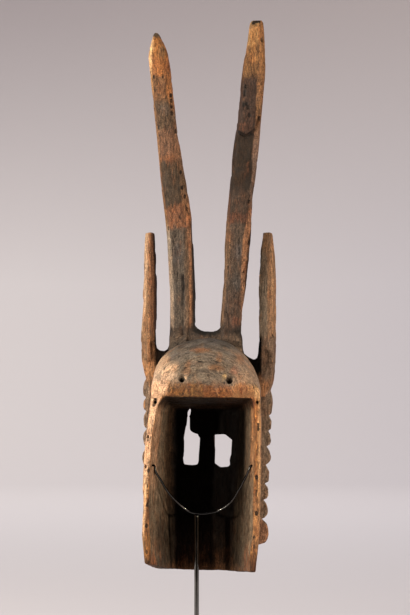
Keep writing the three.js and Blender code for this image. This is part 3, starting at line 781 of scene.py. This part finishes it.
def openness(obj, places, normals):
    """The share of the directions out of each vertex that are free for a few centimetres."""
    tree = BVHTree.FromObject(obj, bpy.context.evaluated_depsgraph_get())
    steps = np.arange(OPENNESS_RAYS)
    rises = 0.12 + 0.83 * (steps + 0.5) / OPENNESS_RAYS
    flat = np.sqrt(1 - rises**2)
    fan = np.stack([flat * np.cos(steps * GOLDEN_TURN), flat * np.sin(steps * GOLDEN_TURN), rises], axis=1)
    upright = np.where(np.abs(normals[:, 2:]) < 0.9, (0, 0, 1), (1, 0, 0))
    side = unit(np.cross(normals, upright))
    other = np.cross(normals, side)
    starts = (places + normals * OPENNESS_START).tolist()
    free = np.zeros(len(places))
    for a, b, c in fan:
        ways = (a * side + b * other + c * normals).tolist()
        hits = [tree.ray_cast(start, way, OPENNESS_REACH)[0] for start, way in zip(starts, ways)]
        free += [hit is None for hit in hits]
    return free / OPENNESS_RAYS


def add_values(mesh, name, values):
    attribute = mesh.attributes.new(name, "FLOAT", "POINT")
    attribute.data.foreach_set("value", np.asarray(values, np.float32))


def add_colours(mesh, name, colours):
    attribute = mesh.attributes.new(name, "FLOAT_COLOR", "POINT")
    rgba = np.ones((len(colours), 4), np.float32)
    rgba[:, :3] = colours
    attribute.data.foreach_set("color", rgba.ravel())


def add_places(mesh, name, places):
    attribute = mesh.attributes.new(name, "FLOAT_VECTOR", "POINT")
    attribute.data.foreach_set("vector", places.ravel())


def grain_places(places):
    """Where each point lies in the wood's grain, which runs upright, but round the curve on the crown."""
    points = mask_mm(places)
    x, y, z = places.T
    up = z - MASK_PLACE[2] - CROWN_CENTRE_Z / 1000
    round_crown = np.stack([np.hypot(x, up), y, np.arctan2(up, x) * CROWN_RADIUS / 1000], axis=1)
    in_height = (points[:, 2] > CROWN_FOOT_Z) & (points[:, 2] < CROWN_TOP_Z)
    on_crown = in_height & (points[:, 1] < CROWN_BACK_Y)
    return np.where(on_crown[:, None], round_crown, places)


def worn_share(points, bend, free, patch, lost):
    """Where the wood is rubbed bare: on its open edges, the right horn's tip and the rim."""
    x, _, z = points.T
    outside = (1 - hollow_share(points)) * np.where(z > 213, 1, ramp(z, 4, 22) * ramp(np.abs(x), 20, 34))
    worn = ramp(bend, 0.1, 0.45) * ramp(free, 0.5, 0.9) * ramp(patch, -0.4, 0.4) * 0.85
    worn = np.maximum(worn, ramp(z, 626, 650) * (x > 0) * 0.4)
    worn = np.maximum(worn, rim_share(points) * ramp(patch, -0.5, 0.4) * 0.4)
    return worn * outside * ramp(lost, 0.14, 0.02)


def dust_share(points, normals, free, patch):
    """Dust lies on what faces up and on the crown, but not in the pockets or on the black crest."""
    dust = ramp(normals[:, 2], 0.2, 0.9) * ramp(free, 0.3, 0.8) * ramp(patch, -0.6, 0.5) * 0.7
    dust = np.maximum(dust, crown_share(points) * ramp(patch, -0.2, 0.4) * 0.35)
    crest = saddle_share(points) * ramp(points[:, 2], 292, 297)
    return dust * (1 - np.maximum(pocket_shade_share(points), crest))


def dirt_and_shade_share(points, bend, free, lost):
    """Dirt in cracks, pits and chipped edges; dirt and painted shade where closed in and in inner corners.
    """
    hollow = hollow_share(points)
    # Closed-in places and inner corners darken as painted shade as well as dirt.
    dirt_and_shade = (1 - ramp(free, 0.15, 0.7)) * (1 - 0.45 * hollow)
    dirt_and_shade = np.maximum(dirt_and_shade, ramp(lost, 0.25, 0.8) * 1.12)
    dirt_and_shade = np.maximum(dirt_and_shade, ramp(-bend, 0.1, 0.5) * 0.7)
    return np.maximum(dirt_and_shade, ramp(bend, 0.05, 0.3) * chip_noise(points) * (1 - hollow) * 0.9)


def shine_share(points):
    """How strongly the wood mirrors light: less in the hollow, and least deep in it and in the pockets."""
    hollow = hollow_share(points)
    dulled = np.maximum(pocket_shade_share(points) * 0.85, hollow * ramp(points[:, 1], 55, 85) * 0.55)
    return WOOD_SHINE * (1 - 0.4 * hollow) * (1 - dulled)


def paint(obj):
    """Keeps the wood's tint, wear, dust, dirt and painted shade, and shine on the mesh for the material."""
    mesh = obj.data
    neighbours = Neighbours(mesh)
    places, normals = vertex_places(mesh), vertex_normals(mesh)
    points = mask_mm(places)
    bend = edge_strength(places, normals, neighbours, 2)
    free = neighbours.smooth(openness(obj, places, normals), 3)
    patch = layered_noise(points, (9, 9, 22), 31)
    lost = damage(points)
    add_colours(mesh, "tint", wood_tint(points))
    add_places(mesh, "grain", grain_places(places))
    add_values(mesh, "worn", worn_share(points, bend, free, patch, lost))
    add_values(mesh, "dust", dust_share(points, normals, free, patch))
    add_values(mesh, "dirt_and_shade", dirt_and_shade_share(points, bend, free, lost))
    add_values(mesh, "pocked", hollow_share(points))
    add_values(mesh, "shine", shine_share(points))


# Materials


class Shader:
    """A material's nodes. Sockets are joined by giving one as another node's input."""

    def __init__(self, name):
        self.material = bpy.data.materials.new(name)
        self.material.use_nodes = True
        self.tree = self.material.node_tree
        self.tree.nodes.clear()

    def add(self, kind, settings=(), **inputs):
        node = self.tree.nodes.new("ShaderNode" + kind)
        for key, value in dict(settings).items():
            setattr(node, key, value)
        for key, value in inputs.items():
            self.set_input(node, key, value)
        return node

    def set_input(self, node, key, value):
        """Sets or joins the socket of that name. A key such as i2 gives the socket's number instead."""
        numbered = key[0] == "i" and key[1:].isdigit()
        socket = node.inputs[int(key[1:]) if numbered else key.replace("_", " ")]
        if isinstance(value, bpy.types.NodeSocket):
            self.tree.links.new(value, socket)
        else:
            socket.default_value = value

    def stretched_noise(self, place, stretch, detail=3.0, roughness=0.55):
        place = self.add("Mapping", Vector=place, Scale=stretch).outputs[0]
        noise = self.add("TexNoise", Vector=place, Scale=1.0, Detail=detail, Roughness=roughness)
        return noise.outputs["Fac"]

    def slope(self, value, low, high, to_low=0.0, to_high=1.0, how="LINEAR"):
        settings = {"interpolation_type": how}
        return self.add("MapRange", settings, i0=value, i1=low, i2=high, i3=to_low, i4=to_high).outputs[0]

    def span(self, value, low, high, to_low=0.0, to_high=1.0):
        return self.slope(value, low, high, to_low, to_high, "SMOOTHSTEP")

    def math(self, operation, first, second=0.0):
        return self.add("Math", {"operation": operation}, i0=first, i1=second).outputs[0]

    def blend(self, share, first, second, how="MIX"):
        node = self.add("Mix", {"data_type": "RGBA", "blend_type": how}, i0=share, i6=first, i7=second)
        return node.outputs[2]

    def value(self, name):
        return self.add("Attribute", {"attribute_name": name}).outputs["Fac"]

    def finish(self, surface):
        output = self.add("OutputMaterial")
        self.tree.links.new(surface, output.inputs["Surface"])
        return self.material


def rgba(red, green, blue):
    return (*srgb(red, green, blue), 1.0)


def grain_layers(s):
    """The wood's layers of noise, each stretched along the grain, from broad mottling to fine grit."""
    place = s.add("Attribute", {"attribute_name": "grain"}).outputs["Vector"]
    return SimpleNamespace(
        redness=s.stretched_noise(place, (70, 72, 34), 5, 0.65),
        mottle=s.stretched_noise(place, (130, 130, 90), 5, 0.65),
        lines=s.stretched_noise(place, (240, 240, 9), 2, 0.4),
        strands=s.stretched_noise(place, (330, 330, 80), 4, 0.6),
        pocks=s.stretched_noise(place, (400, 150, 120), 4, 0.7),
        fibres=s.stretched_noise(place, (620, 620, 170), 4, 0.6),
        grit=s.stretched_noise(place, (760, 760, 640), 3, 0.6),
    )


def grained_colour(s, grain):
    """The tint with its grain and with redder and greyer patches. The hollow has more pocks than fibres."""
    tint = s.add("Attribute", {"attribute_name": "tint"}).outputs["Color"]
    strands = s.span(grain.strands, 0.3, 0.7, 0.72, 1.28)
    value = s.math("MULTIPLY", s.span(grain.fibres, 0.3, 0.7, 0.55, 1.45), strands)
    value = s.math("POWER", value, s.span(s.value("pocked"), 0.0, 1.0, 1.0, 0.4))
    value = s.math("MULTIPLY", value, s.span(grain.grit, 0.32, 0.68, 0.6, 1.4))
    value = s.math("MULTIPLY", value, s.span(grain.mottle, 0.34, 0.66, 0.86, 1.14))
    pocked = s.math("MULTIPLY", s.value("pocked"), s.span(grain.pocks, 0.3, 0.7, -0.55, 0.55))
    value = s.math("MULTIPLY", value, s.math("ADD", pocked, 1.0))
    value_colour = s.add("CombineColor", i0=value, i1=value, i2=value).outputs[0]
    colour = s.blend(1.0, tint, value_colour, "MULTIPLY")
    colour = s.blend(s.span(grain.redness, 0.5, 0.68, 0.0, 0.5), colour, (1.22, 0.86, 0.66, 1), "MULTIPLY")
    return s.blend(s.span(grain.redness, 0.46, 0.3, 0.0, 0.5), colour, (0.86, 0.95, 1.02, 1), "MULTIPLY")


def weathered_colour(s, grain, crack, colour):
    """Edges rubbed bare, then dust, and over both the dirt in cracks and specks, and painted shade in
    corners.
    """
    rubbed = s.math("ADD", s.value("worn"), s.span(grain.strands, 0.3, 0.7, -0.4, 0.25))
    rubbed = s.span(rubbed, 0.25, 0.85)
    bare = s.blend(s.span(grain.fibres, 0.3, 0.7), rgba(116, 76, 44), rgba(176, 126, 76))
    colour = s.blend(s.math("MULTIPLY", rubbed, 0.7), colour, bare)
    dusty = s.math("MULTIPLY", s.value("dust"), s.span(grain.grit, 0.35, 0.65, 0.1, 0.5))
    colour = s.blend(dusty, colour, rgba(140, 130, 118))
    speck = s.math("MULTIPLY", s.span(grain.grit, 0.38, 0.31), s.span(grain.mottle, 0.42, 0.6, 0.15, 1.0))
    dark = s.math("MAXIMUM", s.math("MAXIMUM", crack, s.math("MULTIPLY", s.value("dirt_and_shade"), 0.85)), speck)
    return s.blend(dark, colour, rgba(17, 11, 8))


def wood_material():
    """Old dark wood: grain, fine drying cracks, edges rubbed to bare wood, dust, dirt and painted shade."""
    s = Shader("old_carved_wood")
    grain = grain_layers(s)
    off_line = s.math("ABSOLUTE", s.math("SUBTRACT", grain.lines, 0.5))
    crack = s.math("MULTIPLY", s.span(off_line, 0.014, 0.0), s.span(grain.mottle, 0.44, 0.56))
    colour = weathered_colour(s, grain, crack, grained_colour(s, grain))
    roughness = s.span(grain.mottle, 0.3, 0.7, 0.6, 0.85)
    height = s.math("ADD", s.math("MULTIPLY", grain.fibres, 0.5), s.math("MULTIPLY", grain.strands, 0.7))
    height = s.math("ADD", height, s.math("MULTIPLY", grain.grit, 0.3))
    height = s.math("SUBTRACT", height, s.math("MULTIPLY", crack, 1.2))
    bump = s.add("Bump", Strength=0.9, Distance=0.0009, Height=height).outputs[0]
    skin = s.add("BsdfPrincipled", Base_Color=colour, Roughness=roughness, Normal=bump)
    # The plain value is for what reads the socket alone. The render takes the mesh's own values.
    s.set_input(skin, "Specular_IOR_Level", WOOD_SHINE)
    s.set_input(skin, "Specular_IOR_Level", s.value("shine"))
    return s.finish(skin.outputs[0])


def steel_material(name, tone, gloss, flake):
    """Black finish that mirrors the lights, with a faint waviness, smudges and a little dust."""
    s = Shader(name)
    place = s.add("TexCoord").outputs["Object"]
    wavy = s.stretched_noise(place, (flake, flake, flake), 3)
    smudge = s.stretched_noise(place, (60, 60, 60), 3)
    dust = s.stretched_noise(place, (1400, 1400, 1400), 1)
    smudged = rgba(tone + 14, tone + 13, tone + 12)
    colour = s.blend(s.span(smudge, 0.35, 0.75), rgba(tone, tone, tone), smudged)
    colour = s.blend(s.span(dust, 0.68, 0.76, 0.0, 0.2), colour, rgba(110, 105, 98))
    roughness = s.span(smudge, 0.3, 0.7, gloss, gloss + 0.06)
    bump = s.add("Bump", Strength=0.06, Distance=0.0003, Height=wavy).outputs[0]
    skin = s.add("BsdfPrincipled", Base_Color=colour, Roughness=roughness, Normal=bump, Metallic=1.0)
    return s.finish(skin.outputs[0])


def backdrop_material():
    """Grey paper with painted shade near the mask, up the wall, low on the right and dark by the camera."""
    s = Shader("studio_paper")
    place = s.add("TexCoord").outputs["Object"]
    across, back, height = s.add("SeparateXYZ", Vector=place).outputs
    reach = s.add("VectorMath", {"operation": "LENGTH"}, i0=place).outputs["Value"]
    near = s.math("DIVIDE", reach, s.math("ADD", reach, 1.5))
    colour = s.blend(s.slope(near, 0.25, 0.72), rgba(*NEAR_PAPER), rgba(*FAR_PAPER))
    colour = s.blend(s.slope(height, 0.9, 2.6), colour, rgba(*HIGH_PAPER))
    low_shade = s.slope(across, -1.2, 1.2, 1.02, 0.81)
    high_shade = s.slope(across, -1.2, 1.2, 0.95, 1.04)
    shade = s.slope(height, 0.9, 2.4, low_shade, high_shade)
    shade = s.add("CombineColor", i0=shade, i1=shade, i2=s.math("POWER", shade, 0.8)).outputs[0]
    colour = s.blend(1.0, colour, shade, "MULTIPLY")
    colour = s.blend(s.slope(back, -0.25, -0.9), colour, rgba(*CAMERA_SIDE_SHADE))
    skin = s.add("BsdfPrincipled", Base_Color=colour, Roughness=0.9, Specular_IOR_Level=0.1)
    return s.finish(skin.outputs[0])


# The stand


def tube(name, path, radius, sides=20):
    """A round wire along a smooth path, with flat closed ends."""
    curve = bpy.data.curves.new(name, "CURVE")
    curve.dimensions = "3D"
    spline = curve.splines.new("BEZIER")
    spline.bezier_points.add(len(path) - 1)
    for knot, place in zip(spline.bezier_points, path):
        knot.co = place
        knot.handle_left_type = knot.handle_right_type = "AUTO"
    spline.resolution_u = 10
    curve.bevel_depth = radius
    curve.bevel_resolution = sides // 4
    curve.use_fill_caps = True
    maker = linked_object(name + "_maker", curve)
    graph = bpy.context.evaluated_depsgraph_get()
    mesh = bpy.data.meshes.new_from_object(maker.evaluated_get(graph))
    bpy.data.objects.remove(maker)
    mesh.name = name
    smooth_shading(mesh)
    return linked_object(name, mesh)


def mesh_object(name, shape):
    """A smooth object from a shape that is built and no longer needed."""
    mesh = bpy.data.meshes.new(name)
    shape.to_mesh(mesh)
    shape.free()
    smooth_shading(mesh)
    return linked_object(name, mesh)


def turned(name, profile, place, sides=64):
    """A turned piece round an upright axis, from pairs of radius and height."""
    shape = bmesh.new()
    verts = [shape.verts.new((radius, 0, height)) for radius, height in profile]
    edges = [shape.edges.new(pair) for pair in zip(verts, verts[1:])]
    bmesh.ops.spin(shape, geom=verts + edges, axis=(0, 0, 1), angle=2 * math.pi, steps=sides)
    bmesh.ops.remove_doubles(shape, verts=shape.verts, dist=1e-6)
    bmesh.ops.recalc_face_normals(shape, faces=shape.faces)
    obj = mesh_object(name, shape)
    obj.data.transform(Matrix.Translation(place))
    return obj


def arc(centre, radius, start, end, steps=6):
    turns = [math.radians(start + (end - start) * i / steps) for i in range(steps + 1)]
    return [(centre[0] + radius * math.cos(t), centre[1] + radius * math.sin(t)) for t in turns]


def rod_piece(rod_box):
    """The rod with softened ends. The points just inside them keep the shading of its side straight."""
    low, high = rod_box
    middle = (low + high) / 2
    top, foot = high.z, low.z
    foot_soft = 0.0004
    top_soft = 0.0012
    margin = 0.0006
    profile = [(0, foot), *arc((ROD_RADIUS - foot_soft, foot + foot_soft), foot_soft, -90, 0, 3)]
    profile += [(ROD_RADIUS, foot + foot_soft + margin), (ROD_RADIUS, top - top_soft - margin)]
    profile += [*arc((ROD_RADIUS - top_soft, top - top_soft), top_soft, 0, 90, 5), (0, top)]
    return turned("steel_rod", profile, Vector((middle.x, middle.y, 0)))


def plate_outline(low, high, corner, inset=0.0):
    """The points round a rectangle with rounded corners, drawn in by the inset."""
    points = []
    for sign_x, sign_y, turn in ((1, 1, 0), (-1, 1, 90), (-1, -1, 180), (1, -1, 270)):
        x = (high.x if sign_x > 0 else low.x) - sign_x * corner
        y = (high.y if sign_y > 0 else low.y) - sign_y * corner
        points += arc((x, y), corner - inset, turn, turn + 90, 5)
    return points


def plate_piece(foot_box):
    """The foot's flat plate, with its upper and lower edges softened."""
    low, high = foot_box
    soft = PLATE_EDGE
    plate_top = high.z - SOCKET_HEIGHT
    steps = [(soft - r, low.z + h) for r, h in arc((0, soft), soft, 270, 360, 4)]
    steps += [(soft - r, plate_top - soft + h) for r, h in arc((0, 0), soft, 0, 90, 4)]
    shape = bmesh.new()
    rings = []
    for inset, height in steps:
        outline = plate_outline(low, high, PLATE_CORNER, inset)
        rings.append([shape.verts.new((x, y, height)) for x, y in outline])
    for below, above in zip(rings, rings[1:]):
        for i, vert in enumerate(below):
            shape.faces.new((below[i - 1], vert, above[i], above[i - 1]))
    shape.faces.new(list(reversed(rings[0])))
    shape.faces.new(rings[-1])
    obj = mesh_object("steel_foot", shape)
    obj.data.set_sharp_from_angle(angle=math.radians(40))
    return obj


def socket_piece(foot_box, rod_box):
    """The turned socket for the rod, with a fillet of weld round its foot."""
    middle = (rod_box[0] + rod_box[1]) / 2
    top = foot_box[1].z
    plate_top = top - SOCKET_HEIGHT
    soft = PLATE_EDGE
    weld = WELD_SIZE
    bore = ROD_RADIUS + ROD_GAP
    profile = [(SOCKET_RADIUS + weld, plate_top - WELD_SINK)]
    profile += [(SOCKET_RADIUS + 0.45 * weld, plate_top + 0.35 * weld), (SOCKET_RADIUS, plate_top + weld)]
    profile += arc((SOCKET_RADIUS - soft, top - soft), soft, 0, 90, 4)
    profile += [(bore, top), (bore, plate_top + BORE_FLOOR)]
    return turned("foot_socket", profile, Vector((middle.x, middle.y, 0)))


# The room


def backdrop():
    """A wide round floor that sweeps up into a wall on every side."""
    profile = [(0.0, 0.0), (1.0, 0.0), (2.4, 0.0)]
    profile += [(FLOOR_RADIUS + x, SWEEP_RADIUS + z) for x, z in arc((0, 0), SWEEP_RADIUS, 270, 360, 24)]
    profile += [(FLOOR_RADIUS + SWEEP_RADIUS, WALL_TOP)]
    return turned("studio_sweep", profile, Vector((0, 0, -FLOOR_GAP)), 128)


def soft_light(name, place, target, size, power, colour, spread=140):
    light = bpy.data.lights.new(name, "AREA")
    light.shape = "RECTANGLE"
    light.size, light.size_y = size
    light.energy = power
    light.color = colour
    light.spread = math.radians(spread)
    obj = linked_object(name, light)
    obj.location = place
    obj.rotation_euler = (Vector(target) - Vector(place)).to_track_quat("-Z", "Y").to_euler()
    obj.visible_camera = False
    return obj


def lighting():
    soft_light("left_light", (-1.49, -0.9, 0.8), (0, 0, 0.45), (0.8, 1.4), 31.5, LEFT_GLOW)
    soft_light("left_spot", (-1.08, -1.59, 0.44), (0, 0, 0.4), (0.06, 0.1), 14.5, LEFT_GLOW)
    soft_light("right_light", (1.49, -0.9, 0.7), (0, 0, 0.4), (0.7, 1.2), 11, RIGHT_GLOW)
    soft_light("right_spot", (1.31, -1.42, 0.37), (0, 0, 0.4), (0.05, 0.09), 14.5, RIGHT_GLOW)
    soft_light("back_light", (0, 2.8, 5.0), (0, 4.4, 0), (6.0, 2.5), 350, BACK_GLOW, 180)
    world = bpy.data.worlds.new("soft_room")
    world.use_nodes = True
    room = world.node_tree.nodes["Background"]
    room.inputs["Color"].default_value = ROOM_GLOW
    room.inputs["Strength"].default_value = ROOM_STRENGTH
    bpy.context.scene.world = world


def camera():
    data = bpy.data.cameras.new("camera")
    data.lens = FOCAL_LENGTH
    data.sensor_width = 36
    data.clip_end = 60
    obj = linked_object("camera", data)
    obj.location = CAMERA_PLACE
    obj.rotation_euler = (CAMERA_TARGET - CAMERA_PLACE).to_track_quat("-Z", "Y").to_euler()
    bpy.context.scene.camera = obj


# Putting it together


def dress(obj, material, node=None):
    """Gives a piece its material and its body, and hides the part that it stands for."""
    obj.data.materials.clear()
    obj.data.materials.append(material)
    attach(obj, "root")
    if node:
        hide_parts(node)


def carved_mask(node):
    """The mask's dense mesh, carved, painted and kept inside the box of its solid."""
    obj = dense_copy(node)
    carve(obj)
    thin_out(obj, MASK_TRIANGLES)
    low, high = (np.array(corner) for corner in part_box("mask"))
    set_places(obj.data, np.clip(vertex_places(obj.data), low, high))
    smooth_shading(obj.data)
    paint(obj)
    return obj


def dressed_stand():
    """The wire, the rod and the foot, each in its own black finish."""
    foot_box, rod_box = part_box("stand_foot"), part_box("stand_rod")
    wire = tube("bent_wire", [from_mask_mm(point) for point in CRADLE_BOW], WIRE_RADIUS)
    dress(wire, steel_material("wire_gloss_paint", 66, 0.05, 500), "cradle_wire")
    glossy = steel_material("black_gloss_paint", 102, 0.05, 500)
    dress(rod_piece(rod_box), glossy, "stand_rod")
    satin = steel_material("black_satin_paint", 88, 0.3, 900)
    dress(plate_piece(foot_box), satin, "stand_foot")
    dress(socket_piece(foot_box, rod_box), satin)


def main():
    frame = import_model()
    bpy.context.scene.view_settings.view_transform = "Standard"
    camera()
    lighting()
    sweep = backdrop()
    sweep.data.materials.append(backdrop_material())
    dress(carved_mask(frame["nodes"]["mask"]), wood_material(), "mask")
    dressed_stand()


main()
